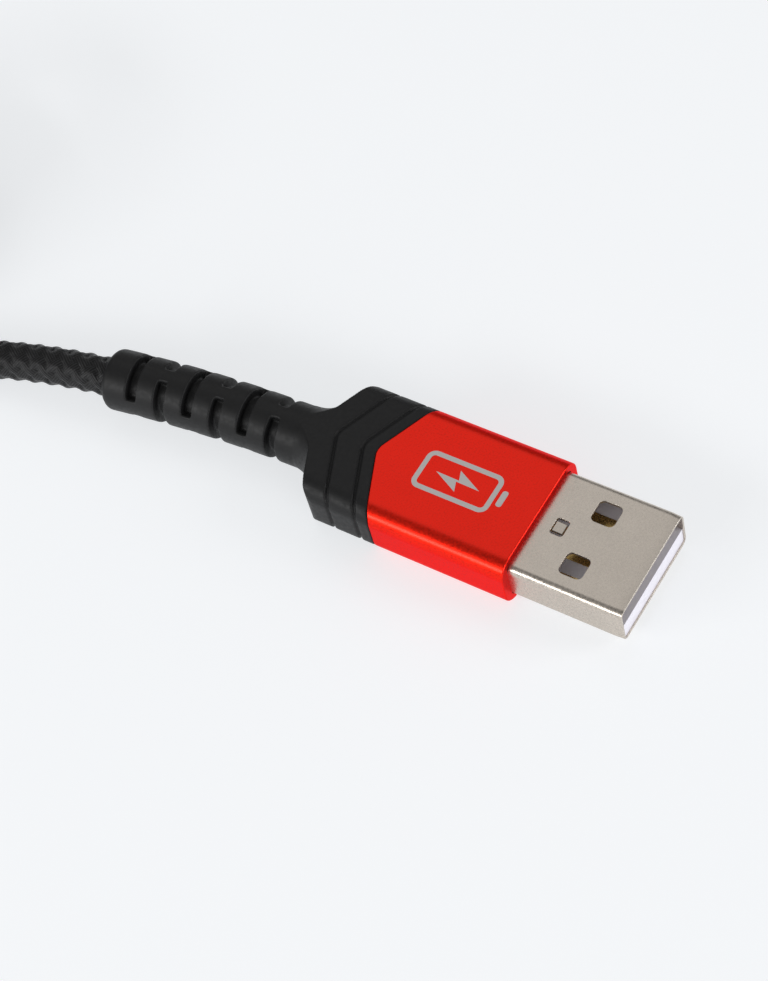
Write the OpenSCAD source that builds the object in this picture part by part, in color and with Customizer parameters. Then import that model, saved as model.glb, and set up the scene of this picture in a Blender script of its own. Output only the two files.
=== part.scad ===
// Braided charging cable with a flat type-A plug, a slotted strain relief,
// a tied hank of cord and a small oval type-C plug on the far end.
// Units are millimetres. The plug lies along +X on the plane z = 0.

/* [Type-A plug] */
// Outer width of the metal shell
shell_w = 12; // [12:0.1:12.2]
// Outer height of the metal shell
shell_h = 4.5; // [4.5:0.1:4.6]
// Sheet thickness of the metal shell
shell_wall = 0.3; // [0.3:0.05:0.35]
// Length of shell that stands out of the sleeve
shell_out = 11.6; // [11.5:0.1:12.2]
// Side of the square latch windows
window_side = 2.4; // [2.2:0.1:2.6]
// Distance between the centres of the two latch windows
window_gap = 6.1; // [5.8:0.1:6.4]

/* [Type-A sleeve and boot] */
// Width of the red metal sleeve
sleeve_w = 14; // [13.8:0.1:15]
// Thickness of the red metal sleeve
sleeve_t = 6.2; // [6:0.1:6.6]
// Corner radius of the sleeve's section
sleeve_r = 1.9; // [1:0.1:2.6]
// Length of the sleeve along its sides
sleeve_side = 14.4; // [13:0.1:16]
// How far the rear edge's point lies behind its sides
chevron = 3; // [2:0.1:3.5]
// Length of the boot along its sides
boot_side = 7.2; // [6:0.1:9]
// Diameter of the strain relief
relief_d = 6.2; // [5.8:0.1:6.2]
// Length of the neck and strain relief behind the boot
relief_len = 26.4; // [25:0.1:30]
// Radius of the strain relief's gentle bend
relief_bend = 169; // [110:1:300]
// Distance between the slot rings of the strain relief
slot_pitch = 3.2; // [3:0.05:3.4]
// Width of one slot
slot_w = 1.1; // [0.7:0.05:1.2]

/* [Cord] */
// Diameter of the braided cord
cord_d = 3.7; // [3.5:0.1:3.7]
// Length of the hank's straight runs
hank_run = 60; // [56:1:64]

/* [Type-C plug] */
// Width of the small plug's sleeve
sleeve_c_w = 10.8; // [10.4:0.1:12]
// Thickness of the small plug's sleeve
sleeve_c_t = 5; // [4.8:0.1:5.6]
// Length of the small plug's sleeve along its sides
sleeve_c_side = 11; // [10:0.1:13]
// Length of the small plug's neck and strain relief
relief_c_len = 12; // [10:0.1:14]

/* [Hidden] */
$fn = 48;
eps = 0.01;
wide = 20;

// Stations of the type-A plug, counted back from the tip of its shell
shell_len = 18.75;
tail_end = 19.4;
solder_end = 20.6;
core_front = 24.6;
jacket_front = 27;
sleeve_rear = shell_out + sleeve_side;
boot_rear = sleeve_rear + boot_side;
relief_turn = relief_len / relief_bend * 180 / PI;
relief_back = (relief_bend + relief_d / 2) * sin(relief_turn);

// The plug and its strain relief are centred on the origin along X
tip_x = (boot_rear + relief_back) / 2;
mid_z = sleeve_t / 2;

// Type-A tongue and contacts
shell_r = 0.5;
bore_w = shell_w - 2 * shell_wall;
bore_h = shell_h - 2 * shell_wall;
bore_r = shell_r - shell_wall + 0.05;
tongue_front = 0.15;
tongue_root = 11.9;
tongue_t = 1.86;
tongue_top = tongue_t - bore_h / 2;
contact_w = 1;
contact_t = 0.3;
contact_top = tongue_top + 0.05;
contact_y = [3.5, 1, -1, -3.5];
contact_front = [1.9, 2.9, 2.9, 1.9];
contact_z = contact_top - contact_t / 2;
window_station = 6.2;
window_r = 0.55;
tab_station = 9.4;
tab_hole = [1.35, 1.8, 0.3];

// Wires: where the four cores leave the cord's jacket, and their colours
wire_d = 0.8;
core_y = [1.2, 0.4, -0.4, -1.2];
core_z = [0.45, -0.45, 0.45, -0.45];
pocket_w = 9.6;
pocket_h = 2.9;

// Strain relief slots: rings alternate between top and bottom, and the two sides, which reach further
slot_rings = 6;
slot_first = 6.8;
slot_depth = 0.95;
slot_half = [68, 76];
flare_r = 5.6;
flare_len = 4.6;
shoulder_r = 1.5;

// Radius of the rounded point on the rear edge of the sleeve and boot
point_r = 1.5;

// Grooves of the type-A boot, each one following the sleeve's rear edge
groove_w = 0.35;
groove_t = 0.25;
groove_stations = [1.3, 4.3];

// Stations of the type-C plug, counted back from the tip of its shell
shell_c_w = 8.25;
shell_c_h = 2.4;
shell_c_out = 6.65;
shell_c_len = 9.5;
board_end = 14.5;
solder_c_end = 15.3;
core_c_front = 16.9;
jacket_c_front = 19.5;
chevron_c = 2.4;
point_c_r = 1.2;
sleeve_c_rear = shell_c_out + sleeve_c_side;
boot_c_side = 5;
boot_c_rear = sleeve_c_rear + boot_c_side;
relief_c_end = boot_c_rear + relief_c_len;
sleeve_c_r = 1.9;
bore_c = [9.2, 3.4, 1.2];
mouth_c = [6.6, 0.8];
mouth_c_end = 6.2;
row_t = 0.1;
row_w = 0.25;
row_pitch = 0.5;
row_end = 10.3;
board_c = [7, 0.6];
solder_c_y = [2.4, 0.8, -0.8, -2.4];
pocket_c = [7.4, 2.2];

// The hank: four turns of cord, two wide and two high, folded in line with the plug
hank_x = -101;
hank_y = 3;
hank_h = 2 * cord_d;
fold_r = 3 * cord_d + 0.1;
hank_edge = fold_r + 1.5 * cord_d;
waist = hank_h;
tie_w = 9;
tie_t = 0.8;
tie_flat = tie_w / 2 + 0.5;

// The small plug lies on the hank, on the far side of the tie
plug_c_z = hank_h + sleeve_c_t / 2 + 0.1;
tail_end_x = -108;
tip_c_x = tail_end_x - relief_c_end;

// The cord's route from the strain relief to the hank
relief_end_x = tip_x - boot_rear - relief_bend * sin(relief_turn);
relief_end_y = relief_bend * (cos(relief_turn) - 1);
route_run = [[relief_end_x, relief_end_y, mid_z], [-32.5, -2.53, 3.05], [-35.5, -3.05, 2.9],
  [-38.5, -3.65, 2.68], [-41.5, -4.4, 2.45], [-44.5, -5.3, 2.25], [-47.5, -6.4, 2.1],
  [-50.5, -7.6, 1.95], [-53.5, -8.8, 1.9], [-56.5, -9.9, 1.9], [-59.5, -10.8, 1.9],
  [-62.5, -11.45, 1.9], [-66, -11.85, 1.9], [-70, -11.9, 1.9]];

// The cord's route over the top of the hank, through the tie and to the small plug
route_tail = [[-80, 15.6, 7.4], [-76, 17.2, 8.7], [-72, 17.9, 9.5], [-68, 17.7, 9.7],
  [-63.5, 16.2, 9.7], [-59.8, 12.8, 9.7], [-57.5, 8.5, 9.7], [-57, 4.2, 9.7], [-58.4, -0.8, 9.7],
  [-61.5, -4.9, 9.6], [-65.5, -7.3, 9.5], [-70, -8.1, 9.4], [-74.5, -7.3, 9.4], [-79, -5.1, 9.6],
  [-83, -2.4, 9.8], [-87, 0.2, 9.9], [-91, 2.1, 10], [-95, 2.9, 10], [-100, 3, 10],
  [tail_end_x, hank_y, plug_c_z]];

// ---- Shared shapes ----

// Rectangle with round corners, centred
module rounded_box(w, h, r) {
  square([w - 2 * r, h], center = true);
  square([w, h - 2 * r], center = true);
  for (sx = [-1, 1], sy = [-1, 1])
    translate([sx * (w / 2 - r), sy * (h / 2 - r)]) circle(r);
}

// Extrudes a Y-Z section between two stations
module along(from, to) {
  translate([-to, 0, 0]) rotate([90, 0, 90]) linear_extrude(to - from) children();
}

// Plan outline of everything in front of an edge with a rounded point at its back
module pointed(side, depth, half_w, r) {
  tip = -side - depth;
  a = atan2(half_w, depth);
  mid = tip + r / sin(a);
  polygon([[wide, -wide], [wide, wide], [tip + wide / tan(a), wide],
    [mid - r * sin(a), r * cos(a)], [mid - r * sin(a), -r * cos(a)], [tip + wide / tan(a), -wide]]);
  translate([mid, 0]) circle(r);
}

// The same outline as a tall prism
module pointed_block(side, depth, half_w, r) {
  translate([0, 0, -wide / 2]) linear_extrude(wide) pointed(side, depth, half_w, r);
}

// Sector of a ring, centred on one direction, up to 90 degrees to each side of it
module ring_sector(r_in, r_out, middle, half) {
  intersection() {
    difference() {
      circle(r_out);
      circle(r_in);
    }
    rotate(middle)
      polygon([[0, 0], [wide * cos(half), -wide * sin(half)], [wide, -wide], [wide, wide],
        [wide * cos(half), wide * sin(half)]]);
  }
}

// One round core from a solder joint to the cord's jacket, cut square at both ends
module core(from, to) {
  d = to - from;
  intersection() {
    translate([to[0], -wide / 2, -wide / 2]) cube([from[0] - to[0], wide, wide]);
    translate(from - d) rotate([0, acos(d[2] / norm(d)), atan2(d[1], d[0])])
      cylinder(h = 3 * norm(d), d = wire_d, $fn = 24);
  }
}

// One slot of a strain relief, as a cutter centred on the relief's own axis
module slot(d, depth, middle, half) {
  rotate([90, 0, 0]) linear_extrude(slot_w, center = true)
    ring_sector(d / 2 - depth, d / 2 + 1, middle, half);
}

// Both slots of one ring: even rings open above and below, odd rings to the two sides
module slot_pair(i, d, depth) {
  for (side = [0, 180])
    slot(d, depth, side + (i % 2 == 0 ? 0 : 90), slot_half[(i + 1) % 2]);
}

// Concave flare from a boot's back face down to its strain relief
module flare(station, r_big, r_small, len, t) {
  intersection() {
    translate([-station, 0, 0]) rotate([0, -90, 0]) rotate_extrude() difference() {
      square([r_big, len]);
      translate([r_small + len, len]) circle(len, $fn = 96);
    }
    cube([20 * wide, 20 * wide, t], center = true);
  }
}

// A tube along a route, as one closed skin with eight sides
function along_axis(p, i) = let (n = len(p), d = p[min(i + 1, n - 1)] - p[max(i - 1, 0)]) d / norm(d);
function side_axis(t) = let (s = cross([0, 0, 1], t)) s / norm(s);
function ring_points(c, t, r, n) = let (u = side_axis(t), v = cross(t, u))
  [for (k = [0:n - 1]) c + r * (cos(360 * k / n) * u + sin(360 * k / n) * v)];
module tube(route, d, n = 8) {
  rings = [for (i = [0:len(route) - 1])
    each ring_points(route[i], along_axis(route, i), d / 2, n)];
  last = (len(route) - 1) * n;
  walls = [for (i = [0:len(route) - 2], k = [0:n - 1])
    [i * n + k, (i + 1) * n + k, (i + 1) * n + (k + 1) % n, i * n + (k + 1) % n]];
  polyhedron(rings, concat(walls, [[for (k = [0:n - 1]) k]],
    [[for (k = [n - 1:-1:0]) last + k]]), convexity = 8);
}

// ---- Type-A plug ----

module plug_a() {
  translate([tip_x, 0, mid_z]) children();
}

// Places things in the plane across the strain relief, at a distance along its bend
module on_relief(s) {
  translate([-boot_rear, -relief_bend, 0]) rotate([0, 0, 90 + s / relief_bend * 180 / PI])
    translate([relief_bend, 0, 0]) children();
}

// A round bar that follows the strain relief's bend
module relief_bar(d) {
  translate([-boot_rear, -relief_bend, 0]) rotate([0, 0, 90])
    rotate_extrude(angle = relief_turn, $fn = 360) translate([relief_bend, 0]) circle(d / 2, $fn = 48);
}

module plug_a_section() {
  rounded_box(sleeve_w, sleeve_t, sleeve_r);
}

module shell_section() {
  rounded_box(shell_w, shell_h, shell_r);
}

module bore_section() {
  rounded_box(bore_w, bore_h, bore_r);
}

module plug_a_shell() {
  color("silver") plug_a() difference() {
    along(0, shell_len) shell_section();
    along(-eps, shell_len + eps) bore_section();
    for (sy = [-1, 1]) translate([-window_station, sy * window_gap / 2, -wide / 2])
      linear_extrude(wide) rounded_box(window_side, window_side, window_r);
    translate([-tab_station, 0, 0]) linear_extrude(wide) rounded_box(tab_hole[0], tab_hole[1], tab_hole[2]);
  }
}

// The space of one contact, from its tip on the tongue to its solder tail
module contact_bar(k) {
  translate([-tail_end, contact_y[k] - contact_w / 2, contact_top - contact_t])
    cube([tail_end - contact_front[k], contact_w, contact_t]);
}

module plug_a_tongue() {
  color("white") plug_a() difference() {
    union() {
      along(tongue_front, shell_len) intersection() {
        bore_section();
        translate([-wide / 2, -bore_h / 2]) square([wide, tongue_t]);
      }
      along(tongue_root, shell_len) bore_section();
    }
    for (k = [0:3]) contact_bar(k);
  }
}

module contact(k) {
  color("gold") plug_a() contact_bar(k);
}

module plug_a_solder() {
  color("lightgray") plug_a() for (y = contact_y)
    translate([0, y, contact_z]) along(tail_end, solder_end) circle(0.55, $fn = 24);
}

module wire_a(k) {
  plug_a() core([-solder_end, contact_y[k], contact_z], [-jacket_front, core_y[k], core_z[k]]);
}

module plug_a_inner_mould() {
  color("whitesmoke") plug_a() difference() {
    along(shell_len, core_front) shell_section();
    along(shell_len - eps, core_front + eps) square([pocket_w, pocket_h], center = true);
  }
}

module plug_a_sleeve() {
  color("red") plug_a() difference() {
    intersection() {
      along(shell_out, sleeve_rear + chevron) plug_a_section();
      pointed_block(sleeve_rear, chevron, sleeve_w / 2, point_r);
    }
    along(0, sleeve_rear + chevron + eps) shell_section();
  }
}

// One groove round the boot, parallel to the sleeve's rear edge
module boot_groove(behind) {
  difference() {
    intersection() {
      along(sleeve_rear, boot_rear + chevron) difference() {
        rounded_box(sleeve_w + 1, sleeve_t + 1, sleeve_r);
        rounded_box(sleeve_w - 2 * groove_t, sleeve_t - 2 * groove_t, sleeve_r - groove_t);
      }
      pointed_block(sleeve_rear + behind + groove_w, chevron, sleeve_w / 2, point_r);
    }
    pointed_block(sleeve_rear + behind, chevron, sleeve_w / 2, point_r);
  }
}

// Takes off the corner between a boot's side and its slanted back, as a round shoulder
module shoulder_cut(side, depth, half_w, r) {
  a = atan2(half_w, depth);
  cx = r / tan(90 - a / 2) - side;
  for (sy = [-1, 1]) translate([cx, sy * (half_w - r), -wide / 2]) linear_extrude(wide)
    difference() {
      polygon([[0, 0], [0, sy * (r + 1)], [-side - 1.2 - cx, sy * (r + 1)],
        [-(r + 1.2) * sin(a), sy * (r + 1.2) * cos(a)]]);
      circle(r);
    }
}

module plug_a_boot() {
  color("dimgray") plug_a() difference() {
    union() {
      difference() {
        intersection() {
          along(sleeve_rear, boot_rear + chevron) plug_a_section();
          pointed_block(boot_rear, chevron, sleeve_w / 2, point_r);
        }
        pointed_block(sleeve_rear, chevron, sleeve_w / 2, point_r);
        shoulder_cut(boot_rear, chevron, sleeve_w / 2, shoulder_r);
      }
      along(core_front, boot_rear) shell_section();
      flare(boot_rear, flare_r, relief_d / 2, flare_len, sleeve_t);
      relief_bar(relief_d);
    }
    for (g = groove_stations) boot_groove(g);
    for (i = [0:slot_rings - 1]) on_relief(slot_first + i * slot_pitch)
      slot_pair(i, relief_d, slot_depth);
    along(core_front - eps, jacket_front) square([6, pocket_h], center = true);
    along(jacket_front, boot_rear) circle(cord_d / 2);
    relief_bar(cord_d);
  }
}

module cable_end_a() {
  color("dimgray") plug_a() {
    along(jacket_front, boot_rear) circle(cord_d / 2);
    relief_bar(cord_d);
  }
}

// ---- Cord ----

module cable_run() {
  color("dimgray") tube(route_run, cord_d);
}

module cable_tail() {
  color("dimgray") tube(route_tail, cord_d);
}

// Half width of the hank's outline, from its waist out to its folds
function hank_half(x) = let (u = min(1, max(0, (abs(x) - tie_flat) / (hank_run / 2 - tie_flat))))
  waist + (hank_edge - waist) * (1 - cos(180 * u)) / 2;

module hank_outline() {
  xs = [for (i = [-16:16]) i * hank_run / 32];
  polygon(concat([for (x = xs) [x, hank_half(x)]], [for (i = [32:-1:0]) [xs[i], -hank_half(xs[i])]]));
  for (sx = [-1, 1]) translate([sx * hank_run / 2, 0]) circle(hank_edge);
}

module cable_hank() {
  color("dimgray") translate([hank_x, hank_y, 0]) {
    difference() {
      linear_extrude(hank_h) hank_outline();
      cube([tie_w, wide * 2, wide * 2], center = true);
    }
    translate([-tie_w / 2, -waist, tie_t]) cube([tie_w, 2 * waist, hank_h]);
  }
}

// Outline of what the tie holds: the hank's waist and the cord on top of it
module tied_outline(grow) {
  hull() {
    translate([-waist - grow, tie_t - grow]) square([2 * (waist + grow), hank_h + 2 * grow]);
    translate([0, plug_c_z]) circle(cord_d / 2 + grow, $fn = 32);
  }
}

module cable_tie() {
  color("black") translate([hank_x - tie_w / 2, hank_y, 0]) rotate([90, 0, 90]) linear_extrude(tie_w)
    difference() {
      tied_outline(tie_t);
      tied_outline(0);
    }
}

// ---- Type-C plug ----

module plug_c() {
  translate([tip_c_x, hank_y, plug_c_z]) rotate([0, 0, 180]) children();
}

module plug_c_section() {
  rounded_box(sleeve_c_w, sleeve_c_t, sleeve_c_r);
}

module bore_c_section() {
  rounded_box(bore_c[0], bore_c[1], bore_c[2]);
}

module oval(w, h) {
  square([w - h, h], center = true);
  for (sx = [-1, 1]) translate([sx * (w - h) / 2, 0]) circle(h / 2);
}

module plug_c_shell() {
  color("silver") plug_c() difference() {
    along(0, shell_c_len) oval(shell_c_w, shell_c_h);
    along(-eps, shell_c_len + eps) oval(shell_c_w - 2 * shell_wall, shell_c_h - 2 * shell_wall);
  }
}

// Twelve contact strips on one side of the small plug's mouth
module contact_row(side) {
  for (i = [0:11]) translate([-row_end, (i - 5.5) * row_pitch - row_w / 2,
      side > 0 ? mouth_c[1] / 2 - row_t : -mouth_c[1] / 2])
    cube([row_end - 0.9, row_w, row_t]);
}

module latch_pair() {
  for (sy = [-1, 1]) translate([-8.4, sy * (mouth_c[0] / 2 - 0.125) - 0.125, -0.15])
    cube([7.6, 0.25, 0.3]);
}

module plug_c_housing() {
  color("dimgray") plug_c() difference() {
    along(0.15, shell_c_len) oval(shell_c_w - 2 * shell_wall, shell_c_h - 2 * shell_wall);
    along(0, mouth_c_end) square(mouth_c, center = true);
    contact_row(1);
    contact_row(-1);
    latch_pair();
  }
}

module plug_c_contacts_upper() {
  color("gold") plug_c() contact_row(1);
}

module plug_c_contacts_lower() {
  color("gold") plug_c() contact_row(-1);
}

module plug_c_latches() {
  color("lightgray") plug_c() latch_pair();
}

module plug_c_board() {
  color("green") plug_c() along(shell_c_len, board_end) square(board_c, center = true);
}

module plug_c_resistor() {
  color("black") plug_c() translate([-12.5, -0.25, board_c[1] / 2]) cube([1, 0.5, 0.35]);
}

module plug_c_solder() {
  color("lightgray") plug_c() for (y = solder_c_y)
    translate([0, y, 0]) along(board_end, solder_c_end) circle(0.45, $fn = 24);
}

module wire_c(k) {
  plug_c() core([-solder_c_end, solder_c_y[k], 0], [-jacket_c_front, core_y[k], core_z[k]]);
}

module plug_c_inner_mould() {
  color("whitesmoke") plug_c() difference() {
    along(shell_c_out, core_c_front) bore_c_section();
    along(shell_c_out - eps, shell_c_len) oval(shell_c_w, shell_c_h);
    along(shell_c_len - eps, core_c_front + eps) square(pocket_c, center = true);
  }
}

module plug_c_sleeve() {
  color("red") plug_c() difference() {
    intersection() {
      along(shell_c_out, sleeve_c_rear + chevron_c) plug_c_section();
      pointed_block(sleeve_c_rear, chevron_c, sleeve_c_w / 2, point_c_r);
    }
    along(0, sleeve_c_rear + chevron_c + eps) bore_c_section();
  }
}

module plug_c_boot() {
  color("dimgray") plug_c() difference() {
    union() {
      difference() {
        intersection() {
          along(sleeve_c_rear, boot_c_rear + chevron_c) plug_c_section();
          pointed_block(boot_c_rear, chevron_c, sleeve_c_w / 2, point_c_r);
        }
        pointed_block(sleeve_c_rear, chevron_c, sleeve_c_w / 2, point_c_r);
      }
      along(core_c_front, boot_c_rear) bore_c_section();
      along(boot_c_rear, relief_c_end) circle(sleeve_c_t / 2);
    }
    for (i = [0:2]) translate([-boot_c_rear - 4 - i * 2.6, 0, 0]) rotate([0, 0, 90])
      slot_pair(i, sleeve_c_t, 0.45);
    along(core_c_front - eps, jacket_c_front) square([5.4, pocket_c[1]], center = true);
    along(jacket_c_front, relief_c_end + eps) circle(cord_d / 2);
  }
}

module cable_end_c() {
  color("dimgray") plug_c() along(jacket_c_front, relief_c_end) circle(cord_d / 2);
}

plug_a_shell();
plug_a_tongue();
contact(0);  // contact_1
contact(1);  // contact_2
contact(2);  // contact_3
contact(3);  // contact_4
plug_a_solder();
color("red") wire_a(0);  // wire_a_red
color("white") wire_a(1);  // wire_a_white
color("green") wire_a(2);  // wire_a_green
color("black") wire_a(3);  // wire_a_black
plug_a_inner_mould();
plug_a_sleeve();
plug_a_boot();
cable_end_a();
cable_run();
cable_hank();
cable_tie();
cable_tail();
plug_c_shell();
plug_c_housing();
plug_c_contacts_upper();
plug_c_contacts_lower();
plug_c_latches();
plug_c_board();
plug_c_resistor();
plug_c_solder();
color("red") wire_c(0);  // wire_c_red
color("white") wire_c(1);  // wire_c_white
color("green") wire_c(2);  // wire_c_green
color("black") wire_c(3);  // wire_c_black
plug_c_inner_mould();
plug_c_sleeve();
plug_c_boot();
cable_end_c();
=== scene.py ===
"""Charging cable: looks for the flat type-A plug, its braided cord, the hank and the type-C plug."""
import math

import bmesh
import bpy
from mathutils import Matrix, Vector


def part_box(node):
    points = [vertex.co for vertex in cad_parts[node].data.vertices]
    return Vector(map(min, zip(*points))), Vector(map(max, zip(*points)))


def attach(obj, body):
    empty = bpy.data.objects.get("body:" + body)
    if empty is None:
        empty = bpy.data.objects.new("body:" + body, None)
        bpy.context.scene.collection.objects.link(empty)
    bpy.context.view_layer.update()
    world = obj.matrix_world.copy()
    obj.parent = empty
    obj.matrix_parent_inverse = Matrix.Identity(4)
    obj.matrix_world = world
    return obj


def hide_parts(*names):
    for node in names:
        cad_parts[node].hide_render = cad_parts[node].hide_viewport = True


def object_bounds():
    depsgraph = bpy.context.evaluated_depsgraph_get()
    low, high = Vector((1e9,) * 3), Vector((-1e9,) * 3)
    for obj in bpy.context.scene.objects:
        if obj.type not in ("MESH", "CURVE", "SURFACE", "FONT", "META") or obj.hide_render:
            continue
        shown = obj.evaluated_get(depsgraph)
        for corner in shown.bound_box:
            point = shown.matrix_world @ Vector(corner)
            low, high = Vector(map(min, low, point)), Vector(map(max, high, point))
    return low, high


MM = 0.001
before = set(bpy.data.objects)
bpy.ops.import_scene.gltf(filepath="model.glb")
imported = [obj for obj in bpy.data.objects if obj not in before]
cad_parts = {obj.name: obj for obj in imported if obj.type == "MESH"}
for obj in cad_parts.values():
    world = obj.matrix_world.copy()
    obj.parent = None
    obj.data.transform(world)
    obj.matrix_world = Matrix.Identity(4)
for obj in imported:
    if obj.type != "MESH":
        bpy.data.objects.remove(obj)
cad_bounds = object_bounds()
scene = bpy.context.scene
BODY = "root"


# ---- Camera ----

def place_camera(azimuth, elevation, roll, distance, aim, lens):
    """Looks at aim from the given direction, turned by roll about its own axis."""
    a, e = math.radians(azimuth), math.radians(elevation)
    back = Vector((math.sin(a) * math.cos(e), -math.cos(a) * math.cos(e), math.sin(e)))
    right = Vector((math.cos(a), math.sin(a), 0.0))
    up = back.cross(right)
    basis = Matrix((right, up, back)).transposed().to_4x4()
    data = bpy.data.cameras.new("camera")
    data.lens = lens
    data.sensor_width = 36.0
    data.clip_start = 0.005
    data.clip_end = 20.0
    camera = bpy.data.objects.new("camera", data)
    scene.collection.objects.link(camera)
    turn = Matrix.Rotation(math.radians(roll), 4, "Z")
    camera.matrix_world = Matrix.Translation(Vector(aim) + back * distance) @ basis @ turn
    scene.camera = camera


place_camera(azimuth=45.74, elevation=54.46, roll=-17.5, distance=0.2253,
             aim=(0.00249, -0.00216, 0.0030), lens=87.9)


# ---- Cord route, in millimetres as in the CAD ----

CORD_D = 3.7
HANK_X, HANK_Y = -101.0, 3.0
HALF_RUN = 30.0
FLARE_START = 5.0
WAIST_MID = CORD_D
FOLD_MID = 3.5 * CORD_D + 0.1
LIFT = 0.8

RELIEF_START_X = -3.213
RELIEF_Z = 3.1
RELIEF_BEND = 169.0
RELIEF_LEN = 26.4
RELIEF_R = 3.1
RELIEF_C_R = 2.5
PLUG_C_Z = 10.0
STRAIGHT = 1.0e5  # bend radius that stands for none

# How a turn rises, tucks in and humps over as it moves on in the right fold
HUMP = 0.55
TUCK = 0.1
RISE_PACE = 1.3
# How far the last turn goes along its far run, and how far the waist's lift reaches
LAST_RUN = 0.7
LIFT_REACH = 9.0
# How the whole line is laid out in even steps and then eased, all but its ends
LINE_STEP = 0.5
EASE_ROUNDS = 12
KEPT_ENDS = 6

ROUTE_RUN = [(-32.5, -2.53, 3.05), (-35.5, -3.05, 2.9), (-38.5, -3.65, 2.68), (-41.5, -4.4, 2.45),
             (-44.5, -5.3, 2.25), (-47.5, -6.4, 2.1), (-50.5, -7.6, 1.95), (-53.5, -8.8, 1.9),
             (-56.5, -9.9, 1.9), (-59.5, -10.8, 1.9), (-62.5, -11.45, 1.9), (-66, -11.85, 1.9),
             (-70, -11.9, 1.9)]
ROUTE_TAIL = [(-80, 15.6, 7.4), (-76, 17.2, 8.7), (-72, 17.9, 9.5), (-68, 17.7, 9.7),
              (-63.5, 16.2, 9.7), (-59.8, 12.8, 9.7), (-57.5, 8.5, 9.7), (-57, 4.2, 9.7),
              (-58.4, -0.8, 9.7), (-61.5, -4.9, 9.6), (-65.5, -7.3, 9.5), (-70, -8.1, 9.4),
              (-74.5, -7.3, 9.4), (-79, -5.1, 9.6), (-83, -2.4, 9.8), (-87, 0.2, 9.9),
              (-91, 2.1, 10), (-95, 2.9, 10), (-100, 3, 10), (-108, 3, 10)]


def smooth(t):
    t = min(1.0, max(0.0, t))
    return t * t * (3.0 - 2.0 * t)


def lane_half(x):
    """Half width of the middle of the bundle, from the waist out to the folds."""
    u = min(1.0, max(0.0, (abs(x) - FLARE_START) / (HALF_RUN - FLARE_START)))
    return WAIST_MID + (FOLD_MID - WAIST_MID) * (1.0 - math.cos(math.pi * u)) / 2.0


def bundle_middle(segment, f):
    """The middle of the bundle in the hank's own plan, and its outward direction.

    A turn is the near run, the left fold, the far run and the right fold, each with f from 0 to 1."""
    if segment in (0, 2):
        side = -1.0 if segment == 0 else 1.0
        x = side * HALF_RUN * (2.0 * f - 1.0)
        near = 0.01
        slope = (lane_half(x + near) - lane_half(x - near)) / (2.0 * near)
        return Vector((x, side * lane_half(x), 0.0)), Vector((-slope, side, 0.0)).normalized()
    side = -1.0 if segment == 1 else 1.0
    angle = math.radians((-90.0 if segment == 1 else 90.0) - 180.0 * f)
    out = Vector((math.cos(angle), math.sin(angle), 0.0))
    return Vector((side * HALF_RUN, 0.0, 0.0)) + out * FOLD_MID, out


def lane(turn, segment, f):
    """Where a turn lies in the two-by-two bundle: outwards and upwards from its middle.

    Each turn moves on one place in the right fold: in along the bottom, up, then out along the top."""
    half = CORD_D / 2.0
    places = [(half, -half), (-half, -half), (-half, half), (half, half)]
    out, up = places[turn]
    if segment < 3:
        return out, up
    next_out, next_up = places[turn + 1]
    t = smooth(f)
    bulge = math.sin(math.pi * t)
    if turn == 1:
        return out - TUCK * bulge, up + (next_up - up) * smooth(RISE_PACE * f)
    lift = HUMP * bulge if turn == 2 else 0.0
    return out + (next_out - out) * t, up + (next_up - up) * t + lift


def hank_points():
    """Four turns of cord through the hank; the last one leaves it on the far run."""
    steps = {0: 40, 1: 24, 2: 40, 3: 24}
    points = []
    for turn in range(4):
        for segment in range(4):
            for i in range(steps[segment]):
                f = i / steps[segment]
                if turn == 3 and (segment > 2 or (segment == 2 and f > LAST_RUN)):
                    continue
                middle, outward = bundle_middle(segment, f)
                out, up = lane(turn, segment, f)
                waist_lift = LIFT * (1.0 - smooth((abs(middle.x) - FLARE_START) / LIFT_REACH))
                p = middle + outward * out
                points.append(Vector((HANK_X + p.x, HANK_Y + p.y, CORD_D + up + waist_lift)))
    return points


def spline(points):
    """A fine line through the given points."""
    fine = []
    last = len(points) - 1
    for i in range(last):
        p0, p1 = points[max(i - 1, 0)], points[i]
        p2, p3 = points[i + 1], points[min(i + 2, last)]
        for k in range(12):
            t = k / 12.0
            fine.append(0.5 * (2.0 * p1 + (p2 - p0) * t + (2.0 * p0 - 5.0 * p1 + 4.0 * p2 - p3) * t * t
                               + (3.0 * p1 - p0 - 3.0 * p2 + p3) * t * t * t))
    fine.append(points[last].copy())
    return fine


def resample(points, step_at):
    """Points along a line, step_at(distance) apart."""
    out, left, s = [points[0].copy()], step_at(0.0), 0.0
    for a, b in zip(points, points[1:]):
        length = (b - a).length
        done = 0.0
        while length - done >= left:
            done += left
            s += left
            out.append(a.lerp(b, done / length))
            left = step_at(s)
        left -= length - done
    out.append(points[-1].copy())
    return out


def cord_route():
    """The whole cord, from the strain relief's mouth to the small plug's strain relief."""
    turn = RELIEF_LEN / RELIEF_BEND
    exit_point = Vector((RELIEF_START_X - RELIEF_BEND * math.sin(turn),
                         -RELIEF_BEND * (1.0 - math.cos(turn)), RELIEF_Z))
    run = spline([exit_point] + [Vector(p) for p in ROUTE_RUN])
    hank = hank_points()
    tail = spline([hank[-1]] + [Vector(p) for p in ROUTE_TAIL])
    line = resample(run + hank + tail[1:], lambda s: LINE_STEP)
    for _ in range(EASE_ROUNDS):
        eased = [(line[i - 1] + 2.0 * line[i] + line[i + 1]) / 4.0 for i in range(1, len(line) - 1)]
        line[KEPT_ENDS:-KEPT_ENDS] = eased[KEPT_ENDS - 1:1 - KEPT_ENDS]
    return line


# ---- Braided cord ----

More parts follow.
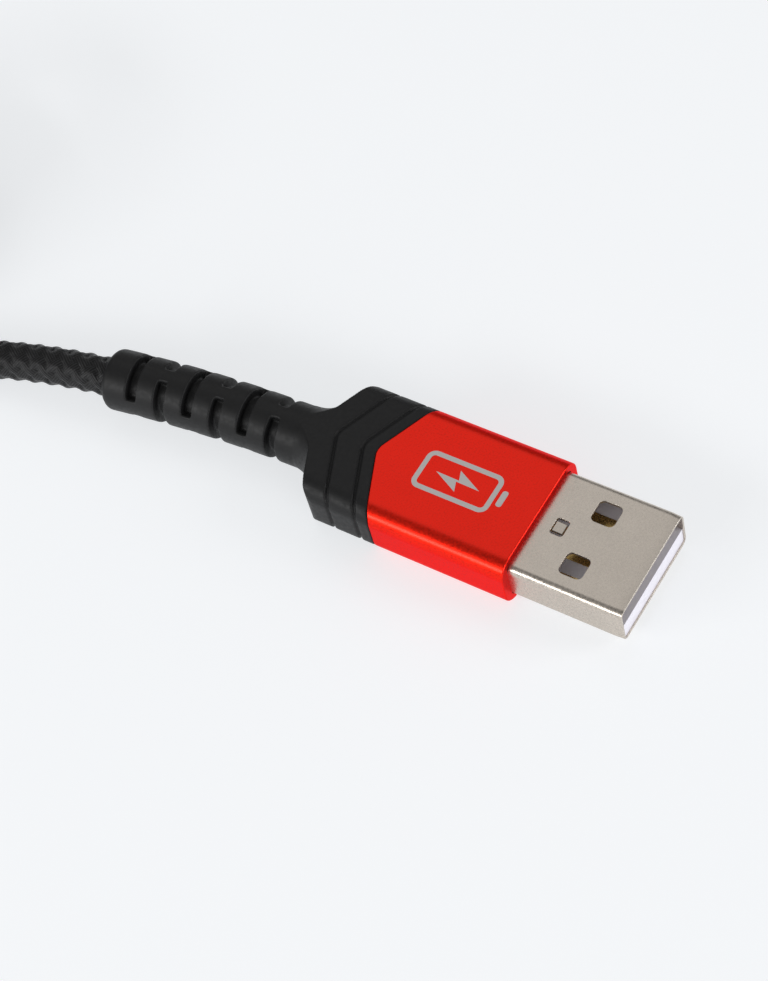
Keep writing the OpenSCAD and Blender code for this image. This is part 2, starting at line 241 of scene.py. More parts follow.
# Strands each way round the cord, and how far one runs along it for each strand round
STRANDS = 6
WEAVE_PITCH = 2.0
CORE_R = 1.50
STRAND_T = 0.37
STRAND_FLATNESS = 0.6
WEAVE_SWING = 0.12


def weave(u, v):
    """Height of the braid over its core, and which way its top strand runs, at u round and v mm along."""
    a, b = STRANDS * u + v / WEAVE_PITCH, STRANDS * u - v / WEAVE_PITCH
    ia, ib = round(a), round(b)
    swing_a = WEAVE_SWING * math.cos(math.pi * b) * (-1) ** ia
    swing_b = -WEAVE_SWING * math.cos(math.pi * a) * (-1) ** ib
    height_a = STRAND_T * math.cos(math.pi * (a - ia)) ** STRAND_FLATNESS + swing_a
    height_b = STRAND_T * math.cos(math.pi * (b - ib)) ** STRAND_FLATNESS + swing_b
    return (height_a, 1.0) if height_a > height_b else (height_b, 0.0)


def braided_tube(name, line, ring_step, sides):
    """A woven tube along a line of millimetre points, with the weave in its surface and in its UV map."""
    rings = resample(line, ring_step)
    bm = bmesh.new()
    uv = bm.loops.layers.uv.new("weave")
    top = bm.verts.layers.float.new("top_strand")
    side_dir = Vector((0, 0, 1)).cross((rings[1] - rings[0]).normalized()).normalized()
    previous, along, rows, places = None, 0.0, [], []
    for i, centre in enumerate(rings):
        tangent = (rings[min(i + 1, len(rings) - 1)] - rings[max(i - 1, 0)]).normalized()
        side_dir = (side_dir - tangent * side_dir.dot(tangent)).normalized()
        up_dir = tangent.cross(side_dir)
        if previous is not None:
            along += (centre - previous).length
        previous = centre
        row = []
        for k in range(sides):
            u = k / sides
            height, strand = weave(u, along)
            angle = 2.0 * math.pi * u
            radius = CORE_R + height
            offset = (side_dir * math.cos(angle) + up_dir * math.sin(angle)) * radius
            vert = bm.verts.new((centre + offset) * MM)
            vert[top] = strand
            row.append(vert)
        rows.append(row)
        places.append(along)
    for i in range(len(rows) - 1):
        for k in range(sides):
            n = (k + 1) % sides
            face = bm.faces.new((rows[i][k], rows[i][n], rows[i + 1][n], rows[i + 1][k]))
            face.smooth = True
            corners = ((k, i), (k + 1, i), (k + 1, i + 1), (k, i + 1))
            for loop, (ku, iv) in zip(face.loops, corners):
                loop[uv].uv = (ku / sides, places[iv])
    bm.faces.new(reversed(rows[0]))
    bm.faces.new(rows[-1])
    bmesh.ops.recalc_face_normals(bm, faces=bm.faces)
    mesh = bpy.data.meshes.new(name)
    bm.to_mesh(mesh)
    bm.free()
    piece = bpy.data.objects.new(name, mesh)
    scene.collection.objects.link(piece)
    return piece


# ---- Modelling by operators, in millimetres, seated on the object afterwards ----

def deselect():
    if bpy.context.object and bpy.context.object.mode != "OBJECT":
        bpy.ops.object.mode_set(mode="OBJECT")
    bpy.ops.object.select_all(action="DESELECT")


def use(piece):
    deselect()
    piece.select_set(True)
    bpy.context.view_layer.objects.active = piece


def block(name, low, high):
    """A box between two corners."""
    deselect()
    size = [h - l for l, h in zip(low, high)]
    middle = [(h + l) / 2.0 for l, h in zip(low, high)]
    bpy.ops.mesh.primitive_cube_add(size=1.0, location=middle)
    piece = bpy.context.object
    piece.name = name
    piece.data.name = name
    piece.scale = size
    bpy.ops.object.transform_apply(location=True, rotation=True, scale=True)
    return piece


def pick_edges(piece, test):
    use(piece)
    bpy.ops.object.mode_set(mode="EDIT")
    bpy.ops.mesh.select_mode(type="EDGE")
    bpy.ops.mesh.select_all(action="DESELECT")
    bm = bmesh.from_edit_mesh(piece.data)
    for edge in bm.edges:
        if test(edge):
            edge.select_set(True)
    bmesh.update_edit_mesh(piece.data)


def bevel_edges(piece, test, width, segments):
    pick_edges(piece, test)
    bpy.ops.mesh.bevel(offset=width, offset_type="OFFSET", segments=segments, profile=0.5,
                       affect="EDGES", clamp_overlap=True)
    bpy.ops.object.mode_set(mode="OBJECT")


def runs_along(axis):
    """True for the edges of a fresh block that run along one axis."""
    def test(edge):
        d = (edge.verts[1].co - edge.verts[0].co).normalized()
        return abs(d[axis]) > 0.99
    return test


def rounded_block(name, low, high, radius, segments, axis=0):
    piece = block(name, low, high)
    bevel_edges(piece, runs_along(axis), radius, segments)
    return piece


def cut_off(piece, point, normal, keep_both=False):
    """Cuts a piece by a plane and closes the cut, or only adds the cut's edges."""
    use(piece)
    bpy.ops.object.mode_set(mode="EDIT")
    bpy.ops.mesh.select_all(action="SELECT")
    bpy.ops.mesh.bisect(plane_co=point, plane_no=normal, use_fill=not keep_both,
                        clear_outer=not keep_both, threshold=0.0001)
    bpy.ops.object.mode_set(mode="OBJECT")


def subtract(piece, cutter):
    use(piece)
    modifier = piece.modifiers.new("cut", "BOOLEAN")
    modifier.operation = "DIFFERENCE"
    modifier.solver = "EXACT"
    modifier.object = cutter
    bpy.ops.object.modifier_apply(modifier="cut")
    bpy.data.objects.remove(cutter)


def soften(piece, width, segments, angle=50.0):
    """Rounds every edge sharper than the angle."""
    use(piece)
    modifier = piece.modifiers.new("soft", "BEVEL")
    modifier.width = width
    modifier.segments = segments
    modifier.limit_method = "ANGLE"
    modifier.angle_limit = math.radians(angle)
    modifier.harden_normals = False
    bpy.ops.object.modifier_apply(modifier="soft")


def shade(piece, angle=35.0):
    use(piece)
    bpy.ops.object.shade_smooth_by_angle(angle=math.radians(angle))
    even = piece.modifiers.new("even", "WEIGHTED_NORMAL")
    even.keep_sharp = True
    even.weight = 60
    bpy.ops.object.modifier_apply(modifier="even")


def seat(piece, place):
    """Moves a millimetre model to its place on the object, at real size, and applies that."""
    use(piece)
    piece.matrix_world = place @ piece.matrix_world
    bpy.ops.object.transform_apply(location=True, rotation=True, scale=True)


def finish_piece(piece, slot, material, *nodes):
    piece.data.materials.clear()
    piece.data.materials.append(material)
    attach(piece, BODY)
    if nodes:
        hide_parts(*nodes)


# ---- Materials ----

def feed(tree, socket, value):
    """Links a socket into a node's input, or sets a plain value on it."""
    if isinstance(value, bpy.types.NodeSocket):
        tree.links.new(value, socket)
    else:
        socket.default_value = value


def math_node(tree, operation, *values):
    node = tree.nodes.new("ShaderNodeMath")
    node.operation = operation
    for socket, value in zip(node.inputs, values):
        feed(tree, socket, value)
    return node.outputs["Value"]


def noise_node(tree, scale, detail):
    """Noise on the object's own coordinates."""
    place = tree.nodes.new("ShaderNodeTexCoord")
    node = tree.nodes.new("ShaderNodeTexNoise")
    feed(tree, node.inputs["Vector"], place.outputs["Object"])
    feed(tree, node.inputs["Scale"], scale)
    feed(tree, node.inputs["Detail"], detail)
    return node.outputs["Fac"]


def bump_node(tree, height, distance):
    node = tree.nodes.new("ShaderNodeBump")
    feed(tree, node.inputs["Strength"], 1.0)
    feed(tree, node.inputs["Distance"], distance * MM)
    feed(tree, node.inputs["Height"], height)
    return node.outputs["Normal"]


def new_material(name, color, roughness, metallic=0.0, **settings):
    """A principled material with plain settings on its own sockets."""
    material = bpy.data.materials.new(name)
    material.use_nodes = True
    shader = material.node_tree.nodes["Principled BSDF"]
    shader.inputs["Base Color"].default_value = (*color, 1.0)
    shader.inputs["Roughness"].default_value = roughness
    shader.inputs["Metallic"].default_value = metallic
    for key, value in settings.items():
        shader.inputs[key.replace("_", " ").title().replace("Ior", "IOR")].default_value = value
    return material


# Scale of the broad mottling against the fine grain, and its share of the colour
BROAD_SCALE = 0.08
BROAD_SHARE = 0.12


def grain_group():
    """Fine surface grain: a height, a roughness and a colour that vary over the surface."""
    group = bpy.data.node_groups.new("surface_grain", "ShaderNodeTree")
    face = group.interface
    for name in ("Scale", "Roughness Low", "Roughness High", "Shift"):
        face.new_socket(name, in_out="INPUT", socket_type="NodeSocketFloat")
    face.new_socket("Color", in_out="INPUT", socket_type="NodeSocketColor")
    face.new_socket("Height", in_out="OUTPUT", socket_type="NodeSocketFloat")
    face.new_socket("Roughness", in_out="OUTPUT", socket_type="NodeSocketFloat")
    face.new_socket("Color", in_out="OUTPUT", socket_type="NodeSocketColor")
    enter = group.nodes.new("NodeGroupInput").outputs
    leave = group.nodes.new("NodeGroupOutput").inputs
    fine = noise_node(group, enter["Scale"], 3.0)
    broad = noise_node(group, math_node(group, "MULTIPLY", enter["Scale"], BROAD_SCALE), 2.0)
    rough = group.nodes.new("ShaderNodeMapRange")
    feed(group, rough.inputs["Value"], fine)
    feed(group, rough.inputs["From Min"], 0.3)
    feed(group, rough.inputs["From Max"], 0.7)
    feed(group, rough.inputs["To Min"], enter["Roughness Low"])
    feed(group, rough.inputs["To Max"], enter["Roughness High"])
    mixed = group.nodes.new("ShaderNodeMix")
    mixed.data_type = "FLOAT"
    feed(group, mixed.inputs["Factor"], BROAD_SHARE)
    feed(group, mixed.inputs["A"], fine)
    feed(group, mixed.inputs["B"], broad)
    centred = math_node(group, "SUBTRACT", mixed.outputs["Result"], 0.5)
    tint = group.nodes.new("ShaderNodeVectorMath")
    tint.operation = "SCALE"
    feed(group, tint.inputs[0], enter["Color"])
    feed(group, tint.inputs["Scale"], math_node(group, "MULTIPLY_ADD", centred, enter["Shift"], 1.0))
    feed(group, leave["Height"], fine)
    feed(group, leave["Roughness"], rough.outputs["Result"])
    feed(group, leave["Color"], tint.outputs["Vector"])
    return group


GRAIN = grain_group()


def grained(name, color, rough_low, rough_high, metallic=0.0, scale=6000.0, shift=0.2, depth=0.004,
            **settings):
    """A material whose colour, roughness and surface carry a fine grain, depth millimetres deep."""
    material = new_material(name, color, rough_low, metallic, **settings)
    tree = material.node_tree
    shader = tree.nodes["Principled BSDF"].inputs
    grain = tree.nodes.new("ShaderNodeGroup")
    grain.node_tree = GRAIN
    feed(tree, grain.inputs["Scale"], scale)
    feed(tree, grain.inputs["Roughness Low"], rough_low)
    feed(tree, grain.inputs["Roughness High"], rough_high)
    feed(tree, grain.inputs["Color"], (*color, 1.0))
    feed(tree, grain.inputs["Shift"], shift)
    feed(tree, shader["Base Color"], grain.outputs["Color"])
    feed(tree, shader["Roughness"], grain.outputs["Roughness"])
    feed(tree, shader["Normal"], bump_node(tree, grain.outputs["Height"], depth))
    return material


# Filaments in a strand, and how high they stand against the yarn's fuzz
FILAMENTS = 6.0
FILAMENT_HEIGHT = 0.35
YARN_DEPTH = 0.035


def braid_material():
    """Nylon yarn: the weave follows the cord's own map, with fine filaments along each strand. Its colour is
    painted shade in the grooves between filaments and painted glints on their crowns, with the fuzz varying
    the tone at random.
    """
    material = new_material("braided_nylon", (0.012, 0.012, 0.013), 0.42, sheen_weight=0.08,
                            sheen_roughness=0.35, specular_ior_level=0.3)
    tree = material.node_tree
    shader = tree.nodes["Principled BSDF"].inputs
    place = tree.nodes.new("ShaderNodeUVMap")
    place.uv_map = "weave"
    split = tree.nodes.new("ShaderNodeSeparateXYZ")
    feed(tree, split.inputs["Vector"], place.outputs["UV"])
    round_part = math_node(tree, "MULTIPLY", split.outputs["X"], STRANDS)
    long_part = math_node(tree, "DIVIDE", split.outputs["Y"], WEAVE_PITCH)
    ridges = []
    for operation in ("ADD", "SUBTRACT"):
        across = math_node(tree, operation, round_part, long_part)
        ridges.append(math_node(tree, "SINE", math_node(tree, "MULTIPLY", across, 2.0 * math.pi * FILAMENTS)))
    strand = tree.nodes.new("ShaderNodeAttribute")
    strand.attribute_name = "top_strand"
    choose = tree.nodes.new("ShaderNodeMix")
    choose.data_type = "FLOAT"
    feed(tree, choose.inputs["Factor"], strand.outputs["Fac"])
    feed(tree, choose.inputs["A"], ridges[1])
    feed(tree, choose.inputs["B"], ridges[0])
    fuzz = noise_node(tree, 5000.0, 3.0)
    height = math_node(tree, "MULTIPLY_ADD", choose.outputs["Result"], FILAMENT_HEIGHT, fuzz)
    # Colour follows the height: painted shade darkens the grooves between filaments, painted glints lighten
    # their crowns, and the fuzz varies the tone at random
    painted_shade_and_glint = tree.nodes.new("ShaderNodeValToRGB")
    groove_shade, light = painted_shade_and_glint.color_ramp.elements
    # Near black is the painted shade in the grooves; the lighter grey is the painted glint on the crowns
    groove_shade.color = (0.0015, 0.0015, 0.0016, 1.0)
    light.color = (0.032, 0.032, 0.034, 1.0)
    groove_shade.position = 0.3
    light.position = 1.0
    feed(tree, painted_shade_and_glint.inputs["Fac"], height)
    feed(tree, shader["Base Color"], painted_shade_and_glint.outputs["Color"])
    feed(tree, shader["Normal"], bump_node(tree, height, YARN_DEPTH))
    return material


NICKEL = grained("nickel_plate", (0.60, 0.54, 0.475), 0.24, 0.38, metallic=1.0, scale=5000.0, shift=0.9)
GOLD = grained("gold_plate", (0.83, 0.58, 0.22), 0.22, 0.32, metallic=1.0, shift=0.1, depth=0.001)
TONGUE = grained("tongue_plastic", (0.9, 0.88, 0.96), 0.35, 0.5, scale=3000.0, shift=0.06, depth=0.002)
HOUSING = grained("housing_plastic", (0.02, 0.02, 0.02), 0.35, 0.5, scale=3000.0, shift=0.1, depth=0.002)
SOLDER = grained("solder_tin", (0.62, 0.63, 0.65), 0.25, 0.45, metallic=1.0, scale=3000.0, depth=0.01)
STEEL = grained("spring_steel", (0.6, 0.6, 0.6), 0.25, 0.35, metallic=1.0, shift=0.15, depth=0.001)
MOULD = grained("mould_plastic", (0.72, 0.72, 0.69), 0.45, 0.6, scale=3000.0, shift=0.06, depth=0.002)
ANODISED = grained("red_anodised", (0.98, 0.019, 0.006), 0.30, 0.44, metallic=1.0, scale=5000.0, shift=0.9,
                   coat_weight=0.22, coat_roughness=0.2, specular_tint=(0.9, 0.10, 0.06, 1.0))
PRINT = grained("printed_grey", (0.68, 0.66, 0.64), 0.42, 0.52, metallic=0.7, scale=5000.0, shift=0.15,
                depth=0.002)
RUBBER = grained("boot_elastomer", (0.012, 0.012, 0.0125), 0.42, 0.56, scale=2600.0, shift=0.25,
                 depth=0.006, specular_ior_level=0.28)
BRAID = braid_material()
STRAP = grained("strap_weave", (0.014, 0.014, 0.015), 0.7, 0.9, scale=3500.0, shift=0.5, depth=0.05,
                sheen_weight=0.3)
BOARD = grained("solder_mask", (0.012, 0.16, 0.05), 0.25, 0.35, scale=2500.0, shift=0.1, depth=0.002)
CHIP = grained("chip_black", (0.015, 0.015, 0.016), 0.4, 0.6, scale=4000.0, depth=0.003)
WIRE_COLORS = {"red": (0.55, 0.02, 0.02), "white": (0.75, 0.75, 0.72), "green": (0.02, 0.30, 0.06),
               "black": (0.015, 0.015, 0.015)}
WIRES = {name: grained("core_" + name, color, 0.35, 0.45, scale=2500.0, shift=0.06, depth=0.002)
         for name, color in WIRE_COLORS.items()}


def paint_node(node, material):
    for slot in bpy.data.objects[node].material_slots:
        slot.material = material


# ---- Where the two plugs are, in millimetres ----

def middle_of(low, high, axis):
    return (low[axis] + high[axis]) / 2.0


shell_low, shell_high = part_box("plug_a_shell")
SCALE = Matrix.Scale(MM, 4)
PLACE_A = Matrix.Translation((shell_high[0], 0.0, middle_of(shell_low, shell_high, 2))) @ SCALE
shell_c_low, shell_c_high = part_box("plug_c_shell")
PLACE_C = (Matrix.Translation((shell_c_low[0], middle_of(shell_c_low, shell_c_high, 1),
                               middle_of(shell_c_low, shell_c_high, 2)))
           @ Matrix.Rotation(math.pi, 4, "Z") @ SCALE)

SHELL_W, SHELL_H, SHELL_LEN, WALL = 12.0, 4.5, 18.75, 0.3
SHELL_R, BORE_R = 0.75, 0.25
LEAD_IN, LEAD_DEPTH = 1.0, 0.05
WINDOW, WINDOW_GAP, WINDOW_STATION, WINDOW_R = 2.4, 6.1, 6.2, 0.55
TAB_STATION, HOLE_LEN, HOLE_W, HOLE_R = 9.4, 1.35, 1.8, 0.3
TAB_FRONT, TAB_BACK, TAB_W, TAB_T = 0.5, 0.55, 1.1, 0.24
TAB_DROP, TAB_DEPTH = 0.08, 0.15
CLEAR = 4.0  # half height of a cutter that goes right through a plug


def type_a_shell():
    """Folded metal shell with its lead-in, two latch windows a side and the hole of the bent tab."""
    piece = rounded_block("shell_a", (-SHELL_LEN, -SHELL_W / 2, -SHELL_H / 2),
                          (0.0, SHELL_W / 2, SHELL_H / 2), SHELL_R, 10)
    cut_off(piece, (-LEAD_IN, 0, 0), (1, 0, 0), keep_both=True)
    for vert in piece.data.vertices:
        if vert.co.x > -LEAD_IN / 2:
            vert.co.y *= 1.0 - LEAD_DEPTH / (SHELL_W / 2)
            vert.co.z *= 1.0 - LEAD_DEPTH / (SHELL_H / 2)
    bore = rounded_block("bore", (-SHELL_LEN - 1, -SHELL_W / 2 + WALL, -SHELL_H / 2 + WALL),
                         (1.0, SHELL_W / 2 - WALL, SHELL_H / 2 - WALL), BORE_R, 4)
    subtract(piece, bore)
    half = WINDOW / 2
    for y in (-WINDOW_GAP / 2, WINDOW_GAP / 2):
        window = rounded_block("window", (-WINDOW_STATION - half, y - half, -CLEAR),
                               (-WINDOW_STATION + half, y + half, CLEAR), WINDOW_R, 5, axis=2)
        subtract(piece, window)
    hole = rounded_block("tab_hole", (-TAB_STATION - HOLE_LEN / 2, -HOLE_W / 2, 0.0),
                         (-TAB_STATION + HOLE_LEN / 2, HOLE_W / 2, CLEAR), HOLE_R, 4, axis=2)
    subtract(piece, hole)
    soften(piece, 0.12, 4)
    shade(piece)
    return piece


def bent_tab():
    """The small tab punched out of the shell's top, bent down into the plug at its front."""
    tab = block("shell_tab", (-TAB_STATION - TAB_BACK, -TAB_W / 2, -TAB_T / 2),
                (-TAB_STATION + TAB_FRONT, TAB_W / 2, TAB_T / 2))
    for vert in tab.data.vertices:
        if vert.co.x > -TAB_STATION:
            vert.co.z -= TAB_DROP
        vert.co.z += SHELL_H / 2 - TAB_DEPTH
    soften(tab, 0.06, 2)
    shade(tab)
    return tab


# Radius of the rounded point on a sleeve's rear edge, and width of the bevel on its rims
POINT_R = 1.5
RIM = 0.14


def pointed_sleeve(name, front, side_rear, depth, width, thick, radius, bore):
    """Metal sleeve with flat faces, round sides and a pointed rear edge."""
    back = side_rear + depth
    half_w = width / 2
    piece = rounded_block(name, (-back - 1, -half_w, -thick / 2), (-front, half_w, thick / 2), radius, 14)
    a = math.atan2(half_w, depth)
    for side in (1, -1):
        cut_off(piece, (-back, 0, 0), (-math.sin(a), side * math.cos(a), 0))

    def on_point(edge):
        return all(abs(v.co.y) < 0.01 and v.co.x < -back + 0.05 for v in edge.verts)

    def on_rim(edge):
        normals = [f.normal for f in edge.link_faces]
        ends = [n for n in normals if abs(n.z) < 0.05 and (n.x > 0.9 or n.x < -0.3)]
        return len(ends) == 1

    bevel_edges(piece, on_point, POINT_R / math.tan(a), 8)
    bevel_edges(piece, on_rim, RIM, 3)
    bore_w, bore_h, bore_r = bore
    cutter = rounded_block("sleeve_bore", (-back - 2, -bore_w / 2, -bore_h / 2),
                           (-front + 1, bore_w / 2, bore_h / 2), bore_r, 6)
    subtract(piece, cutter)
    shade(piece, 30.0)
    return piece


def round_relief_end(piece, start, toward, bend, length, relief_r, edge_r):
    """Rounds the free end of a strain relief, which follows a bend in the plane of the table."""
    start_x, start_y, start_z = start
    for vert in piece.data.vertices:
        out = toward * (vert.co.x - start_x)
        turn = math.atan2(out, vert.co.y - start_y + bend)
        side = math.hypot(out, vert.co.y - start_y + bend) - bend
        rise = vert.co.z - start_z
        reach = math.hypot(side, rise)
        a = bend * turn - (length - edge_r)
        b = reach - (relief_r - edge_r)
        if a <= 0.0 or b <= 0.0:
            continue
        fit = max(a, b) / math.hypot(a, b)
        new_turn = (length - edge_r + a * fit) / bend
        new_reach = relief_r - edge_r + b * fit
        new_side = side * new_reach / reach
        vert.co.x = start_x + toward * (bend + new_side) * math.sin(new_turn)
        vert.co.y = start_y - bend + (bend + new_side) * math.cos(new_turn)
        vert.co.z = start_z + rise * new_reach / reach


# Length of a boot's neck in front of its slots, and the extra easing behind it
NECK_LEN = 4.0
RELIEF_ROUNDS = 7


def smooth_piece(piece, rounds, group=""):
    ease = piece.modifiers.new("ease", "SMOOTH")
    ease.factor = 0.5
    ease.iterations = rounds
    ease.vertex_group = group
    bpy.ops.object.modifier_apply(modifier="ease")


def moulded_copy(name, node, voxel, rounds, faces, relief=None):
    """A skin over a CAD piece with its edges eased, and eased more behind the neck of a strain relief."""
    source = bpy.data.objects[node]
    piece = bpy.data.objects.new(name, source.data.copy())
    scene.collection.objects.link(piece)
    piece.data.transform(Matrix.Scale(1.0 / MM, 4))
    use(piece)
    bpy.ops.object.mode_set(mode="EDIT")
    bpy.ops.mesh.select_all(action="SELECT")
    bpy.ops.mesh.remove_doubles(threshold=0.0005)
    bpy.ops.object.mode_set(mode="OBJECT")
    skin = piece.modifiers.new("skin", "REMESH")
    skin.mode = "VOXEL"
    skin.voxel_size = voxel
    bpy.ops.object.modifier_apply(modifier="skin")
    smooth_piece(piece, rounds)
    if relief:
        start_x, toward = relief["start"][0], relief["toward"]
        band = piece.vertex_groups.new(name="relief")
        slotted = [v.index for v in piece.data.vertices if toward * (v.co.x - start_x) > NECK_LEN]
        band.add(slotted, 1.0, "REPLACE")
        smooth_piece(piece, RELIEF_ROUNDS, "relief")
        round_relief_end(piece, **relief)
    thin = piece.modifiers.new("thin", "DECIMATE")
    thin.ratio = min(1.0, faces / (2.0 * len(piece.data.polygons)))
    bpy.ops.object.modifier_apply(modifier="thin")
    piece.data.transform(SCALE)
    for polygon in piece.data.polygons:
        polygon.use_smooth = True
    return piece


def outline_plate(name, points, z, thick):
    """A thin flat plate with the given outline."""
    bm = bmesh.new()
    face = bm.faces.new([bm.verts.new((x, y, z)) for x, y in points])
    moved = bmesh.ops.extrude_face_region(bm, geom=[face])
    upper = [v for v in moved["geom"] if isinstance(v, bmesh.types.BMVert)]
    bmesh.ops.translate(bm, vec=(0, 0, thick), verts=upper)
    bmesh.ops.recalc_face_normals(bm, faces=bm.faces)
    mesh = bpy.data.meshes.new(name)
    bm.to_mesh(mesh)
    bm.free()
    piece = bpy.data.objects.new(name, mesh)
    scene.collection.objects.link(piece)
    return piece


MARK_X, MARK_LEN, MARK_W, MARK_LINE, MARK_R = -20.1, 8.2, 4.4, 0.5, 0.9
CAP_GAP, CAP_LEN, CAP_W = 0.35, 0.6, 1.8
INK_T, INK_SUNK = 0.03, 0.01


def battery_mark(top):
    """Printed sign for charging: a battery outline with a bolt in it."""
    z = top - INK_SUNK
    front, side = MARK_LEN / 2, MARK_W / 2
    case = rounded_block("charge_mark", (MARK_X - front, -side, z), (MARK_X + front, side, z + INK_T),
                         MARK_R, 8, axis=2)
    inside = rounded_block("case_inside", (MARK_X - front + MARK_LINE, -side + MARK_LINE, z - 1),
                           (MARK_X + front - MARK_LINE, side - MARK_LINE, z + 1), MARK_R - MARK_LINE, 8,
                           axis=2)
    subtract(case, inside)
    cap_x = MARK_X + front + CAP_GAP
    cap = rounded_block("cap", (cap_x, -CAP_W / 2, z), (cap_x + CAP_LEN, CAP_W / 2, z + INK_T), 0.25, 4,
                        axis=2)
    half_bolt = [(2.4, -0.15), (-0.3, 1.15), (0.1, 0.1)]
    outline = half_bolt + [(-x, -y) for x, y in half_bolt]
    bolt = outline_plate("bolt", [(MARK_X + x, y) for x, y in outline], z, INK_T)
    for part in (cap, bolt):
        use(case)
        part.select_set(True)
        bpy.ops.object.join()
    return case


# ---- Building the type-A end ----

SLEEVE_FRONT, SLEEVE_REAR, CHEVRON = 11.6, 26.0, 3.0
SLEEVE_W, SLEEVE_T, SLEEVE_R, SLEEVE_BORE_R = 14.0, 6.2, 1.9, 0.5
RELIEF_EDGE_R = 0.8

shell_a = type_a_shell()
seat(shell_a, PLACE_A)
finish_piece(shell_a, "shell_nickel", NICKEL, "plug_a_shell")
tab_a = bent_tab()
seat(tab_a, PLACE_A)
finish_piece(tab_a, "shell_nickel", NICKEL)
sleeve_a = pointed_sleeve("sleeve_a", SLEEVE_FRONT, SLEEVE_REAR, CHEVRON, SLEEVE_W, SLEEVE_T, SLEEVE_R,
                          (SHELL_W, SHELL_H, SLEEVE_BORE_R))
seat(sleeve_a, PLACE_A)
finish_piece(sleeve_a, "sleeve_red", ANODISED, "plug_a_sleeve")
mark = battery_mark(SLEEVE_T / 2)
seat(mark, PLACE_A)
finish_piece(mark, "print_grey", PRINT)
boot_a = moulded_copy("boot_a", "plug_a_boot", voxel=0.11, rounds=2, faces=95000,
                      relief={"start": (RELIEF_START_X, 0.0, RELIEF_Z), "toward": -1.0,
                              "bend": RELIEF_BEND, "length": RELIEF_LEN, "relief_r": RELIEF_R,
                              "edge_r": RELIEF_EDGE_R})
finish_piece(boot_a, "boot_black", RUBBER, "plug_a_boot")

# ---- Building the cord ----

FINE_LEN, FINE_RING, PLAIN_RING = 16.0, 0.14, 0.29

cord_line = cord_route()
cord = braided_tube("braided_cord", cord_line, lambda s: FINE_RING if s < FINE_LEN else PLAIN_RING, 24)
finish_piece(cord, "braid_black", BRAID, "cable_run", "cable_hank", "cable_tail")

# ---- The strap round the hank ----

STRAP_W, STRAP_T = 9.0, 0.42
STRAP_STEP = 0.6
STRAP_END_R = 1.5
STRAP_ACROSS = 14
CORNER_STEP = 0.2
LAY_GAP, LAP_GAP = 0.02, 0.05
LANE_OUT, LANE_LOW, LANE_HIGH = 1.5 * CORD_D, LIFT + CORD_D / 2.0, LIFT + 1.5 * CORD_D


def strap_path(offset):
    """A line once round the cords in the waist, at an offset from their middles, with round corners."""
    corners = [Vector((LANE_OUT, LANE_LOW)), Vector((LANE_OUT, LANE_HIGH)), Vector((0.0, PLUG_C_Z)),
               Vector((-LANE_OUT, LANE_HIGH)), Vector((-LANE_OUT, LANE_LOW))]
    path = []
    count = len(corners)
    for i, corner in enumerate(corners):
        before = (corner - corners[i - 1]).normalized()
        after = (corners[(i + 1) % count] - corner).normalized()
        start = math.atan2(before.y, before.x) - math.pi / 2.0
        sweep = (math.atan2(after.y, after.x) - math.atan2(before.y, before.x)) % (2.0 * math.pi)
        steps = max(2, round(sweep / CORNER_STEP))
        for k in range(steps + 1):
            angle = start + sweep * k / steps
            path.append(corner + offset * Vector((math.cos(angle), math.sin(angle))))
    return path


def strap_tie():
    """A hook-and-loop strap: once round the waist of the hank, with its end lying on the first layer."""
    inner = strap_path(CORD_D / 2.0 + 0.5 * STRAP_T + LAY_GAP)
    outer = strap_path(CORD_D / 2.0 + 1.5 * STRAP_T + LAP_GAP)
    lap = len([q for q in outer if q.x > 0.0]) - 3
    line = inner + [(inner[0] + outer[0]) / 2.0] + outer[1:lap]
    points = []
    for point, following in zip(line, line[1:]):
        extra = int((following - point).length / STRAP_STEP)
        points.append(point)
        points.extend(point.lerp(following, (k + 1) / (extra + 1)) for k in range(extra))
    points.append(line[-1])
    bm = bmesh.new()
    rows = []
    for i, point in enumerate(points):
        to_end = (len(points) - 1 - i) * STRAP_STEP
        half = STRAP_W / 2.0
        if to_end < STRAP_END_R:
            half -= STRAP_END_R - math.sqrt(STRAP_END_R ** 2 - (STRAP_END_R - to_end) ** 2)
        rows.append([bm.verts.new((HANK_X + half * (2.0 * k / STRAP_ACROSS - 1.0), HANK_Y + point.x, point.y))
                     for k in range(STRAP_ACROSS + 1)])
    for row, following in zip(rows, rows[1:]):
        for k in range(STRAP_ACROSS):
            bm.faces.new((row[k], row[k + 1], following[k + 1], following[k]))
    mesh = bpy.data.meshes.new("strap_tie")
    bm.to_mesh(mesh)
    bm.free()
    piece = bpy.data.objects.new("strap_tie", mesh)
    scene.collection.objects.link(piece)
    use(piece)
    thick = piece.modifiers.new("thick", "SOLIDIFY")
    thick.thickness = STRAP_T
    thick.offset = 0.0
    bpy.ops.object.modifier_apply(modifier="thick")
    soften(piece, 0.09, 2, 60.0)
    shade(piece, 50.0)
    piece.data.transform(SCALE)
    return piece


strap = strap_tie()
finish_piece(strap, "tie_black", STRAP, "cable_tie")

# ---- Building the type-C end ----

SLEEVE_C_FRONT, SLEEVE_C_REAR, CHEVRON_C = 6.65, 17.65, 2.4
SLEEVE_C_W, SLEEVE_C_T, SLEEVE_C_R = 10.8, 5.0, 1.9
SLEEVE_C_BORE = (9.2, 3.4, 1.2)
RELIEF_C_START_X, RELIEF_C_LEN, RELIEF_C_EDGE_R = -120.0, 12.0, 0.5

